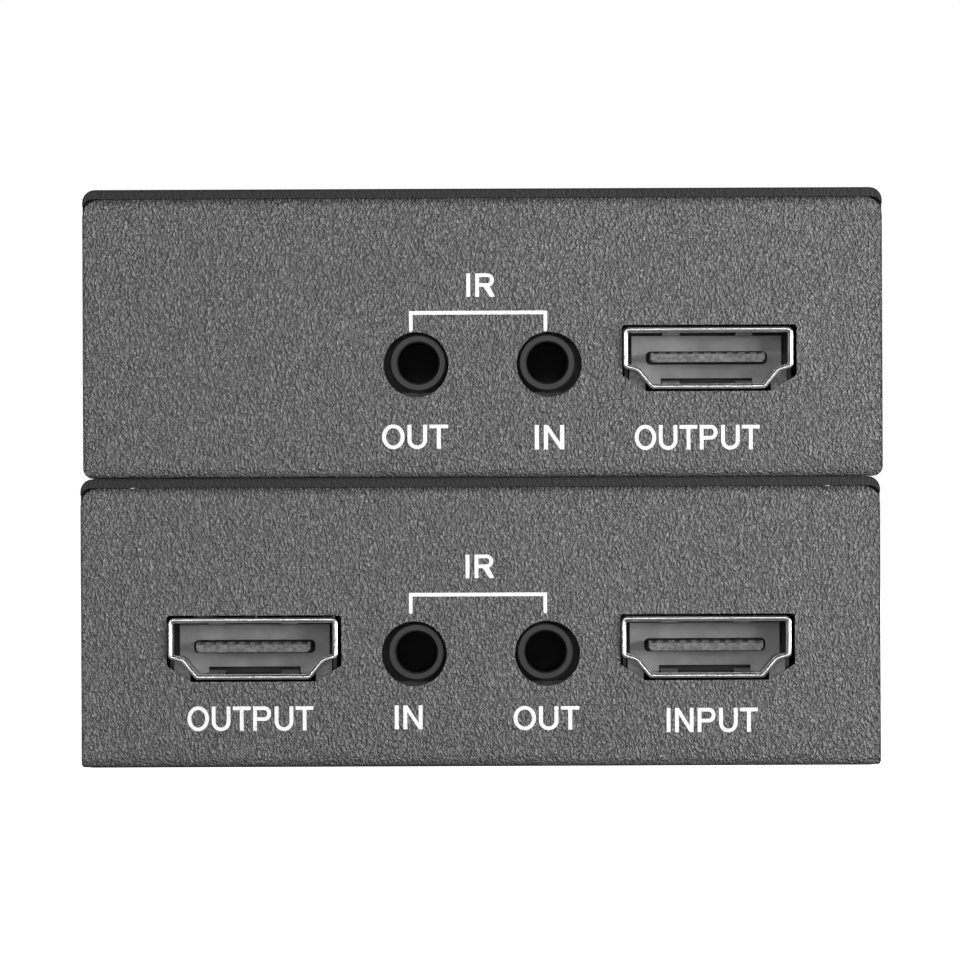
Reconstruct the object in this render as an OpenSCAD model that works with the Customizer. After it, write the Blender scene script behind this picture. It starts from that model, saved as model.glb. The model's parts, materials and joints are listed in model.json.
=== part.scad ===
// Video extender set: a transmitter box with its receiver box standing on it.
// Front panels face -Y, +Z is up, the origin lies under the middle of the stack, sizes in millimetres.

/* [Enclosure] */
// Width of each box
unit_w = 70; // [69:0.5:90]
// Depth of each box from front face to rear face
unit_d = 84; // [80:0.5:110]
// Room between the network jack and the cover above it
headroom = 3.85; // [3:0.05:12]
// Thickness of the folded sheet
sheet_t = 0.8; // [0.6:0.05:1]
// Inner radius of the cover's two long bends
cover_bend_r = 0.3; // [0.2:0.05:1]
// Inner radius of the tray's bends
tray_bend_r = 0.3; // [0.2:0.05:0.6]
// Gap along each seam between tray and cover
seam_gap = 0.04; // [0.03:0.01:0.15]
// Radius that clips the top corners of both panels
panel_corner_r = 1.55; // [1.3:0.05:2]
// Radius of the same corners in the cover's notches round the panels
notch_corner_r = 0.85; // [0.6:0.05:1.2]
// Radius of the bottom corners of the transmitter's panels
transmitter_foot_r = 0.4; // [0.2:0.1:1]
// Radius of the bottom corners of the receiver's panels
receiver_foot_r = 0.9; // [0.2:0.1:1]
// Height of the lips that run along the tray's sides
lip_h = 2.4; // [2:0.1:5]
// Gap between the bench and the lower edges of the cover
cover_lift = 0.9; // [0.5:0.05:1.1]
// How far the upper box stands to the right of the lower one
stack_shift = 0.25; // [0:0.05:3]

/* [Vents] */
// Number of slots in each side of the cover
vent_count = 9; // [3:1:12]
// Distance from one slot to the next
vent_pitch = 3.2; // [2.6:0.1:4]
// Width of a slot
vent_w = 1.4; // [1:0.1:1.8]
// Length of a slot
vent_len = 7; // [4:0.5:9]
// Height of the middle of the slots
vent_z = 14.5; // [12:0.5:16]

/* [Fasteners] */
// Radius of the countersunk cover screws
cover_screw_r = 1.2; // [1:0.05:1.4]
// Radius of their heads at the outer face
cover_screw_head_r = 2; // [1.8:0.05:2.2]
// Length of a cover screw with its head
cover_screw_len = 4; // [3:0.1:4.4]
// Height of the cover screws
cover_screw_z = 3.6; // [3.4:0.1:4]
// Distance of the cover screws from the panels
cover_screw_inset = 9; // [8:0.5:10]
// Width of the screw tabs on the tray's lips
tab_w = 9; // [7:0.5:11]
// Radius of the circuit board's screws
board_screw_r = 1.25; // [1:0.05:1.5]
// Radius of their pan heads
board_screw_head_r = 2.3; // [2:0.1:2.6]
// Height of their pan heads
board_screw_head_h = 1.6; // [1.2:0.1:2]
// Length of their threads
board_screw_len = 5.6; // [4:0.1:6]
// Distance across the flats of a standoff
standoff_af = 5; // [4.5:0.1:5.5]
// Height of a standoff above the tray's floor
standoff_h = 5.05; // [5:0.05:6]
// Radius of a standoff's foot, clinched in the floor
standoff_foot_r = 2.1; // [1.9:0.05:2.2]
// Running gap round a screw in its hole
screw_gap = 0.05; // [0.03:0.01:0.1]

/* [Circuit board] */
// Thickness of the circuit board
board_t = 1.6; // [1.2:0.1:1.6]
// Gap between the board's edges and the tray
board_gap = 0.5; // [0.4:0.05:0.8]
// Distance of the board's screws from its side edges
board_screw_side = 4; // [3.6:0.1:4.4]
// Distance of the board's screws from its front and rear edges
board_screw_end = 15; // [14:0.5:17]
// How far solder legs stand out under the board
leg_out = 1; // [0.6:0.1:1.2]
// Gap round a leg in its slot in the board
leg_gap = 0.1; // [0.05:0.01:0.15]

/* [Video ports] */
// Place of the video cut-outs, as a share of the panel's half width
port_place_share = 0.5674; // [0.56:0.0002:0.58]
// How far each video port sits to the right of its cut-out's middle
port_offset = -0.1; // [-0.15:0.01:0.15]
// Outer width of the port's lip
port_w = 14.9; // [14.7:0.05:15.1]
// Outer height of the port's lip
port_h = 5.41; // [5.3:0.01:5.6]
// Width of the lip's flat bottom
port_foot_w = 10; // [9.6:0.1:10.4]
// Height at which the side walls step inwards
port_step_h = 1.85; // [1.7:0.05:2]
// Thickness of the shell's wall
port_wall = 0.3; // [0.25:0.01:0.35]
// Thickness of the rolled lip
port_lip_t = 0.4; // [0.35:0.01:0.45]
// How much the lip flares out from the shell
port_flare = 0.15; // [0.1:0.01:0.2]
// Depth of the whole shell
port_d = 11.6; // [11.2:0.1:12]
// How far the lip stands proud of the panel
port_proud = 0.3; // [0.2:0.05:0.5]
// Gap under the shell
port_lift = 0.25; // [0.2:0.01:0.3]
// Gap between the lip and the panel's cut-out
port_gap = 0.2; // [0.18:0.01:0.25]
// Depth of the cavity in front of the insulator
cavity_d = 6.5; // [6:0.1:7]
// Width of the contact tongue
tongue_w = 10; // [9.8:0.05:10.2]
// Thickness of the tongue between its ribs
tongue_h = 0.67; // [0.6:0.01:0.7]
// How far the tongue's tip lies behind the mouth
tongue_recess = 1.5; // [1.3:0.1:1.8]
// Distance between neighbouring contacts of one row
contact_pitch = 1; // [0.98:0.01:1.02]
// Number of contacts in the upper row
upper_contacts = 10; // [6:1:10]
// Width of a contact
contact_w = 0.4; // [0.3:0.02:0.42]
// Thickness of a contact
contact_t = 0.12; // [0.1:0.01:0.14]

/* [Infrared jacks] */
// Distance between the two jacks
jack_pitch = 11.3; // [11:0.1:11.4]
// Radius of the panel holes in front of the jacks
jack_hole_r = 2.85; // [2.8:0.01:2.95]
// How far each hole lies outboard of its jack
jack_hole_out = 0.18; // [0:0.01:0.2]
// How far each hole lies below its jack's axis
jack_hole_drop = 0.15; // [0:0.01:0.2]
// Radius of the jack's bore, for a 3.5 mm plug
jack_bore_r = 1.8; // [1.78:0.01:1.82]
// Depth of the bore
jack_bore_d = 12; // [11:0.1:12.4]
// Radius of the jack's round nose
jack_nose_r = 2.5; // [2.4:0.01:2.55]
// Length of the nose in front of the body
jack_nose_len = 2; // [1.8:0.1:2.4]
// Width of the jack's body
jack_w = 6; // [5.8:0.1:6.4]
// Height of the jack's body
jack_h = 5.2; // [5.1:0.05:5.4]
// Length of the jack from nose to back
jack_d = 14; // [13.6:0.1:15]
// How far the nose's face lies behind the panel's face
jack_recess = 0.25; // [0.1:0.05:0.5]

/* [Network jack] */
// Place of the network jack, as a share of the panel's half width
network_place_share = 0.3714; // [0.32:0.0002:0.44]
// Width of the network jack
network_w = 16; // [15.8:0.1:16.4]
// Height of the network jack
network_h = 13.2; // [13:0.1:13.6]
// Depth of the network jack
network_d = 21; // [20:0.1:22]
// Thickness of its shield
shield_t = 0.25; // [0.2:0.01:0.3]
// How far the jack stands proud of the rear panel
network_proud = 0.3; // [0.2:0.05:0.5]
// Gap between the shield and the panel's cut-out
network_gap = 0.3; // [0.28:0.01:0.4]
// Width of the plug's cavity
plug_w = 11.8; // [11.7:0.05:11.9]
// Height of the plug's cavity
plug_h = 6.8; // [6.7:0.05:6.9]
// Depth of the plug's cavity
plug_d = 13.4; // [13:0.1:14]
// Distance between neighbouring network contacts
wire_pitch = 1.02; // [1:0.01:1.04]
// Thickness of a network contact
wire_t = 0.3; // [0.25:0.01:0.35]

/* [Power jack] */
// Distance of the power jack's axis from the board's side edge
power_side = 12.9; // [12.4:0.1:14]
// Width of the power jack
power_w = 9; // [8.8:0.1:9.2]
// Height of the power jack
power_h = 11; // [10.8:0.1:11.2]
// Depth of the power jack
power_d = 14.2; // [13.8:0.1:15]
// Height of the plug's axis above the board
power_axis_z = 6.5; // [6.4:0.05:6.6]
// Radius of the bore, for a 5.5 mm plug
power_bore_r = 3.1; // [3.05:0.01:3.2]
// Radius of the centre pin
power_pin_r = 1.05; // [1:0.01:1.1]
// Radius of the panel's hole in front of it
power_hole_r = 4; // [3.9:0.05:4.1]
// Place of the power light, as a share of the panel's half width
light_place_share = -0.2; // [-0.24:0.01:-0.17]
// Radius of the power light's lens
light_r = 1.5; // [1.4:0.05:1.6]

/* [Hidden] */

$fn = 48;
// One overrun serves all cuts
over = 1;
// Straight pieces in each rounded corner of an outline
corner_steps = 5;

// The two boxes, as places in the lists below
transmitter = 0;
receiver = 1;
foot_r = [transmitter_foot_r, receiver_foot_r];
// The sides on which each box has video ports
port_sides = [[-1, 1], [1]];
left = -1;
right = 1;

// Planes of one box
unit_h = sheet_t + standoff_h + board_t + network_h + headroom + sheet_t;
front_y = -unit_d / 2;
rear_y = unit_d / 2;
panel_top = unit_h - sheet_t - seam_gap;
tray_bend_out = tray_bend_r + sheet_t;
lip_x = unit_w / 2 - sheet_t;
floor_x = lip_x - tray_bend_out;
bend_relief = 0.6;
tab_edge = 1.2;
tab_h = cover_screw_z + cover_screw_r + tab_edge;

// The board and what stands on it
board_bottom = sheet_t + standoff_h;
board_top = board_bottom + board_t;
board_x = lip_x - sheet_t - board_gap;
board_y = unit_d / 2 - sheet_t - board_gap;
port_x = unit_w / 2 * port_place_share;
network_x = unit_w / 2 * network_place_share;
light_x = unit_w / 2 * light_place_share;
power_x = power_side - board_x;
board_corner_r = 1;
board_hole_x = board_x - board_screw_side;
board_hole_y = board_y - board_screw_end;
board_hole_r = board_screw_r + leg_gap;
hex_corner_share = 1 / sqrt(3);
cover_screw_y = unit_d / 2 - cover_screw_inset;
clinch_gap = 0.02;
clinch_sunk = 0.05;
recess_w = 0.5;
recess_d = 0.6;

// Video port, from its own mouth inwards and up from the shell's bottom
port_top_inner_r = 0.15;
port_step_inner_r = 0.05;
port_curve_inner_r = 0.1;
port_top_r = port_lip_t + port_top_inner_r;
port_step_r = port_lip_t + port_step_inner_r;
port_step_in = 1.2;
port_step_drop = 0.35;
port_curve_r = port_lip_t + port_curve_inner_r;
port_lip_d = 0.5;
lip_steps = 6;
port_cut_corner_w = 2.2;
port_cut_corner_h = 1.4;
port_cut_r = 0.25;
port_inner = port_flare + port_wall;
seam_w = 0.06;
face_side = 0.85;
face_top = 0.68;
face_d = 0.6;
insulator_end = 10.2;
rib_h = 0.16;
rib_start = 0.8;
tongue_corner = 0.25;
moat_side = 0.35;
moat_over = 0.17;
moat_d = 1.2;
key_slot_w = 8.1;
key_slot_h = 1;
key_slot_d = 1.5;
contact_back = 0.5;
tail_y = 10.5;
tail_len = 0.9;
contact_clear = 0.02;
finger_w = 1.5;
finger_len = 3.8;
finger_slot = 0.3;
finger_dip = 0.3;
finger_x = 3.2;
finger_y = 1.8;
finger_knee_share = 0.75;
flap_window_h = 0.9;
leg_w = 1.4;
leg_ys = [3, 8.2];
leg_shoulder = 0.3;
foot_plate_in = 0.5;
foot_plate_w = 1.4;
foot_plate_gap = 0.15;

// Infrared jack, from the nose's face inwards and up from the board
jack_axis_z = jack_h / 2;
jack_face_bevel = 0.14;
jack_mouth_bevel = 0.12;
jack_slot_in = 0.3;
jack_slot_w = 1.6;
jack_window_h = 1.1;
jack_spring_t = 0.3;
jack_spring_gap = 0.06;
jack_spring_rise = 1;
jack_side_shares = [[-1, 0.3], [1, 0.48], [-1, 0.72]];

// Network jack, from its mouth inwards and up from the board
network_fit = 0.05;
network_post_r = 1.55;
network_post_wall = 0.5;
network_post_y = 9;
latch_hs = [1.5, 1];
latch_ws = [6.2, 3.2];
plug_top = 10.7;
network_light_w = 3;
network_light_h = 1.5;
network_light_d = 5;
network_light_wall = 0.55;
wire_front = 1.6;
wire_shaft_y = 14;
wire_roof = 0.25;
wire_fold_y = 8.6;
wire_dip = 1.7;
wire_count = 8;
wire_clear = 0.12;
shield_leg_w = 1.6;
shield_leg_y = 8;
shield_finger_w = 2.4;
shield_finger_len = 4.4;
shield_finger_rise = 0.2;

// Power jack, from its face inwards and up from the board
power_face_d = 3.4;
power_barrel_r = 4.1;
power_bore_d = 10;
power_pin_back = 0.9;
power_pin_tail = 0.8;
power_gap = 0.15;
power_base_h = power_axis_z;
power_mouth_bevel = 0.3;
power_pin_nose = 0.5;
power_spring_w = 2.4;
power_spring_t = 0.4;
power_spring_y = 4.6;
power_spring_len = 5;
light_z = 6.5;
light_d = 4.6;
light_out = 0.2;
light_rim = 0.35;
light_rim_d = 1;
light_gap = 0.1;
holder_w = 5;
holder_d = 5;
holder_h = 8.6;
holder_front = 1.4;

// Parts on the board: places in shares of its half width and half depth, or at a gap from a socket
part_gap = 1.2;
chip_w = 14;
chip_h = 1.4;
chip_bevel = 0.25;
chip_place_shares = [-0.096, -0.16];
chip_dot_r = 0.6;
chip_dot_d = 0.1;
sink_w = 19;
sink_base = 1.5;
sink_h = 8;
sink_fins = 7;
sink_fin_t = 1;
coil_w = 12.6;
coil_d = 14.8;
coil_h = 5.8;
coil_bevel = 0.4;
coil_pins = 12;
coil_pin_pitch = 1.1;
coil_pin_w = 0.45;
coil_pin_len = 1.3;
coil_pin_t = 0.2;
can_r = 3.15;
can_h = 7.6;
can_base = 6.8;
can_base_h = 1;
can_neck = 0.25;
can_neck_h = 0.7;
can_corner = 1.3;
can_vent_w = 0.3;
can_vent_d = 0.15;
can_gap = 0.4;
can_pitch_shares = [[-0.5, 0], [0.5, 0], [-0.5, -1]];
chip_row_w = 1.6;
chip_row_d = 0.8;
chip_row_h = 0.6;
chip_row_pitch = 2.4;
chip_row_count = 6;
chip_row_place_shares = [[0.66, -0.3], [-0.55, -0.3], [0.05, 0.42]];
crystal_w = 11.2;
crystal_d = 4.7;
crystal_h = 3.6;
crystal_place_shares = [0.42, -0.42];
choke_w = 7.4;
choke_h = 4;
choke_corner = 1.4;

// Colours
charcoal = [0.33, 0.33, 0.34];
chrome = [0.83, 0.83, 0.85];
black = [0.06, 0.06, 0.06];
graphite = [0.25, 0.25, 0.26];
brass = [0.8, 0.63, 0.28];
steel = [0.6, 0.6, 0.62];
aluminium = [0.78, 0.79, 0.8];
board_green = [0.05, 0.3, 0.16];
lamp_green = [0.25, 0.85, 0.35];
lamp_red = [0.85, 0.2, 0.15];

// Outlines: each point is [x, y] or [x, y, corner radius], counter-clockwise
function place(p) = [p[0], p[1]];
function bend(p) = len(p) > 2 ? p[2] : 0;
function heading(a, b) = (b - a) / norm(b - a);
function left_of(u) = [-u[1], u[0]];
function spun(u, a) = [u[0] * cos(a) - u[1] * sin(a), u[0] * sin(a) + u[1] * cos(a)];
function around(pts, i) = place(pts[(i + len(pts)) % len(pts)]);

function corner(before, here, after, r) =
    let (
        u = heading(before, here),
        v = heading(here, after),
        a = atan2(cross(u, v), u * v),
        start = here - u * r * tan(abs(a) / 2),
        centre = start + left_of(u) * r * sign(a)
    )
    r == 0 ? [here] :
    [for (k = [0:corner_steps]) centre - spun(left_of(u), a * k / corner_steps) * r * sign(a)];

function rounded(pts) = [
    for (i = [0:len(pts) - 1])
        each corner(around(pts, i - 1), around(pts, i), around(pts, i + 1), bend(pts[i]))
];

function grown(pts, by) = [
    for (i = [0:len(pts) - 1])
        let (
            u = heading(around(pts, i - 1), around(pts, i)),
            v = heading(around(pts, i), around(pts, i + 1)),
            shift = -(left_of(u) + left_of(v)) * by / (1 + u * v),
            r = bend(pts[i])
        )
        concat(around(pts, i) + shift, r == 0 ? 0 : max(r + by * sign(cross(u, v)), 0))
];

function box_outline(x0, y0, x1, y1, r = 0) = [[x0, y0, r], [x1, y0, r], [x1, y1, r], [x0, y1, r]];
function mirrored(half) = concat(half, [for (i = [len(half) - 1:-1:0])
    concat([-half[i][0], half[i][1]], bend(half[i]))]);

// Extrusions along each axis
module along_x(x0, x1) translate([x0, 0, 0]) rotate([90, 0, 90]) linear_extrude(x1 - x0) children();
module along_y(y0, y1) translate([0, y1, 0]) rotate([90, 0, 0]) linear_extrude(y1 - y0) children();
module along_z(z0, z1) translate([0, 0, z0]) linear_extrude(z1 - z0) children();
module shape(pts) polygon(rounded(pts));
module block(low, high) translate(low) cube(high - low);
module both_ends() {
    children();
    mirror([0, 1, 0]) children();
}
module both_sides() {
    children();
    mirror([1, 0, 0]) children();
}
module in_unit(unit) {
    translate([(unit == receiver ? stack_shift : -stack_shift) / 2, 0, unit == receiver ? unit_h : 0])
        children();
}
module lower() in_unit(transmitter) children();
module upper() in_unit(receiver) children();
module on_board() translate([0, 0, board_top]) children();
module at_port(side) on_board() translate([side * port_x + port_offset, front_y - port_proud, port_lift])
    children();
module at_jack(side) on_board() translate([side * jack_pitch / 2, front_y + jack_recess, 0]) children();
module at_network() on_board() translate([network_x, rear_y + network_proud, 0]) mirror([0, 1, 0])
    children();
module at_power() on_board() translate([power_x, rear_y - sheet_t - power_gap, 0]) mirror([0, 1, 0])
    children();
module at_light() on_board() translate([light_x, rear_y, 0]) mirror([0, 1, 0]) children();
module at_board_holes() for (x = [-board_hole_x, board_hole_x], y = [-board_hole_y, board_hole_y])
    translate([x, y, 0]) children();
module at_cover_screws() both_sides() both_ends()
    translate([unit_w / 2, cover_screw_y, cover_screw_z]) rotate([0, -90, 0]) children();

// Outlines of the sheet-metal box
function panel_outline(unit, top_r) = let (x = unit_w / 2, r = foot_r[unit])
    [[-x, 0, r], [x, 0, r], [x, panel_top, top_r], [-x, panel_top, top_r]];
cover_outline = let (x = unit_w / 2, r = cover_bend_r + sheet_t)
    [[-x, cover_lift], [x, cover_lift], [x, unit_h, r], [-x, unit_h, r]];
cover_hollow = let (x = unit_w / 2 - sheet_t)
    [[-x, -over], [x, -over], [x, unit_h - sheet_t, cover_bend_r], [-x, unit_h - sheet_t, cover_bend_r]];
tray_side_outline = let (y = unit_d / 2, r = tray_bend_out)
    [[-y, 0, r], [y, 0, r], [y, panel_top], [-y, panel_top]];
tray_side_hollow = let (y = unit_d / 2 - sheet_t, r = tray_bend_r)
    [[-y, sheet_t, r], [y, sheet_t, r], [y, unit_h + over], [-y, unit_h + over]];
function lip_outline(h) = [[-lip_x, 0, tray_bend_out], [lip_x, 0, tray_bend_out], [lip_x, h], [-lip_x, h]];
lip_hollow = let (x = lip_x - sheet_t, r = tray_bend_r)
    [[-x, sheet_t, r], [x, sheet_t, r], [x, unit_h], [-x, unit_h]];

module base_tray(unit) color(charcoal) difference() {
    union() {
        along_x(-floor_x, floor_x) tray_profile();
        both_ends() {
            tray_end(unit, unit_w / 2, sheet_t);
            tray_end(unit, lip_x, tray_bend_out);
        }
        tray_lips(lip_h, [-1, 1] * (unit_d / 2 - tray_bend_out - bend_relief));
        for (y = [-cover_screw_y, cover_screw_y]) tray_lips(tab_h, [y - tab_w / 2, y + tab_w / 2]);
    }
    for (side = port_sides[unit]) port_cut(side);
    for (side = [left, right]) jack_hole(side);
    rear_cuts();
    at_cover_screws() cylinder(r = cover_screw_r + screw_gap, h = cover_screw_len + over);
    at_board_holes() along_z(-over, sheet_t + over) circle(standoff_foot_r + clinch_gap);
}

// A panel as wide as half_w to each side, as much of it as depth takes in
module tray_end(unit, half_w, depth) intersection() {
    along_x(-half_w, half_w) tray_profile();
    along_y(front_y, front_y + depth) shape(panel_outline(unit, panel_corner_r));
}

module tray_profile() difference() {
    shape(tray_side_outline);
    shape(tray_side_hollow);
}

module tray_lips(h, ys) along_y(ys[0], ys[1]) difference() {
    shape(lip_outline(h));
    shape(lip_hollow);
}

module port_cut(side) translate([side * port_x, 0, board_top + port_lift])
    along_y(front_y - over, front_y + sheet_t + over) let (
        x = port_w / 2 + port_gap,
        low = -port_gap,
        high = port_h + port_gap
    ) shape(mirrored([
        [-x, high, port_cut_r],
        [-x, low + port_cut_corner_h, port_cut_r],
        [-x + port_cut_corner_w, low, port_cut_r],
    ]));

module jack_hole(side)
    translate([side * (jack_pitch / 2 + jack_hole_out), 0, board_top + jack_axis_z - jack_hole_drop])
    along_y(front_y - over, front_y + sheet_t + over) circle(jack_hole_r);

module rear_cuts() {
    at_network() along_y(-over, network_proud + sheet_t + over)
        let (x = network_w / 2 + network_gap) shape(box_outline(-x, 0, x, network_h + network_gap));
    at_power() translate([0, 0, power_axis_z]) along_y(-sheet_t - over, over) circle(power_hole_r);
    at_light() translate([0, 0, light_z]) along_y(-over, sheet_t + over) circle(light_r + light_gap);
}

module top_cover(unit) color(charcoal) difference() {
    along_y(front_y, rear_y) difference() {
        shape(cover_outline);
        shape(cover_hollow);
    }
    both_ends() along_y(front_y - over, front_y + sheet_t + seam_gap)
        shape(grown(panel_outline(unit, notch_corner_r), seam_gap));
    at_cover_screws() {
        countersink();
        translate([0, 0, -over]) cylinder(r = cover_screw_head_r, h = over);
        cylinder(r = cover_screw_r + screw_gap, h = sheet_t + over);
    }
    for (i = [0:vent_count - 1]) translate([0, (i - (vent_count - 1) / 2) * vent_pitch, vent_z])
        along_x(-unit_w / 2 - over, unit_w / 2 + over)
            shape(box_outline(-vent_w / 2, -vent_len / 2, vent_w / 2, vent_len / 2, vent_w / 2));
}

// A countersunk head's cone, as deep as the sheet is thick
module countersink() cylinder(r1 = cover_screw_head_r, r2 = cover_screw_r + screw_gap, h = sheet_t);

module cover_screws() color(steel) at_cover_screws() difference() {
    union() {
        countersink();
        cylinder(r = cover_screw_r, h = cover_screw_len);
    }
    cross_recess(cover_screw_head_r);
}

module cross_recess(head_r) for (turn = [0, 90]) rotate([0, 0, turn])
    block([-head_r / 2, -recess_w / 2, -over], [head_r / 2, recess_w / 2, recess_d]);

module standoffs() color(brass) at_board_holes() difference() {
    union() {
        along_z(sheet_t, board_bottom) circle(standoff_af * hex_corner_share, $fn = 6);
        along_z(clinch_sunk, board_bottom) circle(standoff_foot_r);
    }
    along_z(sheet_t, board_bottom + over) circle(board_screw_r + screw_gap);
}

module board_screws() color(steel) at_board_holes() difference() {
    union() {
        along_z(board_top - board_screw_len, board_top + over / 2) circle(board_screw_r);
        along_z(board_top, board_top + board_screw_head_h) circle(board_screw_head_r);
    }
    translate([0, 0, board_top + board_screw_head_h]) mirror([0, 0, 1]) cross_recess(board_screw_head_r);
}

module circuit_board(unit) color(board_green) difference() {
    along_z(board_bottom, board_top)
        shape(box_outline(-board_x, -board_y, board_x, board_y, board_corner_r));
    at_board_holes() along_z(0, unit_h) circle(board_hole_r);
    for (side = port_sides[unit]) at_port(side) port_legs(leg_gap);
    for (side = [left, right]) at_jack(side) jack_spring_legs(leg_gap);
    at_network() {
        shield_legs(leg_gap);
        network_posts(leg_gap);
        network_wires(leg_gap);
    }
    at_power() {
        power_pin_leg(leg_gap);
        power_spring_leg(leg_gap);
    }
}

// Video port
port_outline = mirrored([
    [-port_w / 2, port_h, port_top_r],
    [-port_w / 2, port_step_h, port_step_r],
    [-port_w / 2 + port_step_in, port_step_h - port_step_drop, port_curve_r],
    [-port_foot_w / 2, 0, port_curve_r],
]);

module port_ring(outer, inner) difference() {
    shape(grown(port_outline, -outer));
    shape(grown(port_outline, -inner));
}

// The lip's section, from its outer wall over the rolled edge to its inner wall: each [inset, depth]
lip_section = let (r = port_lip_t / 2) concat(
    [[0, port_lip_d]],
    [for (k = [0:lip_steps]) let (a = 180 * k / lip_steps) [r - r * cos(a), r - r * sin(a)]],
    [[port_lip_t, port_lip_d]]
);

// The section carried round the port's outline
module port_lip() let (
        rings = [for (p = lip_section) [for (q = rounded(grown(port_outline, -p[0]))) [q[0], p[1], q[1]]]],
        n = len(rings[0]),
        m = len(rings)
    )
    polyhedron([for (ring = rings) each ring], [
        for (j = [0:m - 1], i = [0:n - 1])
            let (next = (j + 1) % m, turn = (i + 1) % n)
            [j * n + i, next * n + i, next * n + turn, j * n + turn]
    ]);

module port_shell() color(chrome) {
    difference() {
        union() {
            port_lip();
            along_y(port_lip_d, port_d) port_ring(port_flare, port_inner);
            along_y(port_d - port_wall, port_d) shape(grown(port_outline, -port_flare));
            port_legs(0);
            port_shoulders();
            port_foot_plates();
        }
        block([-seam_w / 2, -over, -over], [seam_w / 2, insulator_end, port_inner + seam_w]);
        block([-port_w / 2, insulator_end, -over], [port_w / 2, port_d + over, flap_window_h]);
        finger_windows();
    }
    port_fingers();
}

// Legs at both sides, with room round them when extra is set
module port_legs(extra) both_sides() for (y = leg_ys)
    block([port_w / 2 - port_inner - extra, y - extra, -port_lift - board_t - leg_out],
        [port_w / 2 - port_flare + extra, y + leg_w + extra, port_step_h + port_wall]);

// The wider tops of the legs, which rest on the board
module port_shoulders() both_sides() for (y = leg_ys)
    block([port_w / 2 - port_inner, y - leg_shoulder, -port_lift],
        [port_w / 2 - port_flare, y + leg_w + leg_shoulder, port_step_h + port_wall]);

module port_foot_plates() both_sides() let (
        x = port_foot_w / 2 + foot_plate_in,
        y = port_proud + sheet_t + foot_plate_gap
    )
    along_y(y, y + port_wall) difference() {
        shape(box_outline(x, -port_lift, x + foot_plate_w, port_step_h));
        shape(grown(port_outline, -port_flare - port_wall / 2));
    }

module at_fingers() both_sides() translate([finger_x, finger_y, 0]) {
    translate([0, 0, port_h - port_flare]) children();
    translate([0, 0, port_flare]) mirror([0, 0, 1]) children();
}

module finger_windows() at_fingers()
    block([-finger_w / 2 - finger_slot, 0, -port_wall - over / 2],
        [finger_w / 2 + finger_slot, finger_len + finger_slot, over / 2]);

module port_fingers() at_fingers() along_x(-finger_w / 2, finger_w / 2) let (
        knee = finger_len * finger_knee_share,
        dip = -finger_dip
    )
    polygon([
        [-port_wall, 0], [-port_wall, -port_wall],
        [0, -port_wall], [knee, dip - port_wall], [finger_len, dip / 2 - port_wall],
        [finger_len, dip / 2], [knee, dip], [0, 0],
    ]);

insulator_outline = grown(port_outline, -port_inner);
tongue_z = port_h / 2;
tongue_outline = mirrored([
    [-tongue_w / 2, tongue_z + tongue_h / 2],
    [-tongue_w / 2, tongue_z - tongue_h / 2 + tongue_corner],
    [-tongue_w / 2 + tongue_corner, tongue_z - tongue_h / 2],
]);

module port_insulator() color(graphite) difference() {
    union() {
        difference() {
            union() {
                along_y(cavity_d, cavity_d + face_d) intersection() {
                    shape(insulator_outline);
                    let (x = port_w / 2 - face_side) shape(box_outline(-x, 0, x, port_h - face_top));
                }
                along_y(cavity_d + face_d, insulator_end) shape(insulator_outline);
            }
            along_y(cavity_d - over, cavity_d + moat_d) tongue_moat();
            block([-key_slot_w / 2, cavity_d - over, 0],
                [key_slot_w / 2, cavity_d + key_slot_d, key_slot_h]);
        }
        along_y(tongue_recess, insulator_end) shape(tongue_outline);
        tongue_ribs();
    }
    port_contacts_at(contact_clear);
}

module tongue_moat() let (
        x = tongue_w / 2 + moat_side,
        low = tongue_z - tongue_h / 2 - moat_over,
        high = tongue_z + tongue_h / 2 + rib_h + moat_over
    )
    shape(box_outline(-x, low, x, high, (high - low) / 2 - moat_over));

// Ribs between the upper contacts, each side of a groove
module tongue_ribs() for (i = [0:upper_contacts]) let (
        x = (i - upper_contacts / 2) * contact_pitch,
        half = (contact_pitch - contact_w) / 2 - contact_clear,
        low = max(x - half, -tongue_w / 2),
        high = min(x + half, tongue_w / 2)
    )
    block([low, tongue_recess + rib_start, tongue_z],
        [high, insulator_end, tongue_z + tongue_h / 2 + rib_h]);

module port_contacts() color(brass) port_contacts_at(0);

// Both rows of contacts, thickened by extra to cut their channels
module port_contacts_at(extra) {
    for (i = [0:upper_contacts - 1])
        port_contact((i - (upper_contacts - 1) / 2) * contact_pitch, tongue_z + tongue_h / 2, extra);
    for (i = [0:upper_contacts - 2])
        port_contact((i - (upper_contacts - 2) / 2) * contact_pitch, tongue_z - tongue_h / 2, extra);
}

module port_contact(x, z, extra) let (
        low = z - extra,
        high = z + contact_t + extra,
        start = tongue_recess + contact_back - extra,
        end = tail_y + contact_t
    )
    along_x(x - contact_w / 2 - extra, x + contact_w / 2 + extra) polygon([
        [start, low], [tail_y, low], [tail_y, -port_lift],
        [end + tail_len, -port_lift], [end + tail_len, -port_lift + contact_t],
        [end, -port_lift + contact_t], [end, high], [start, high],
    ]);

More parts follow.
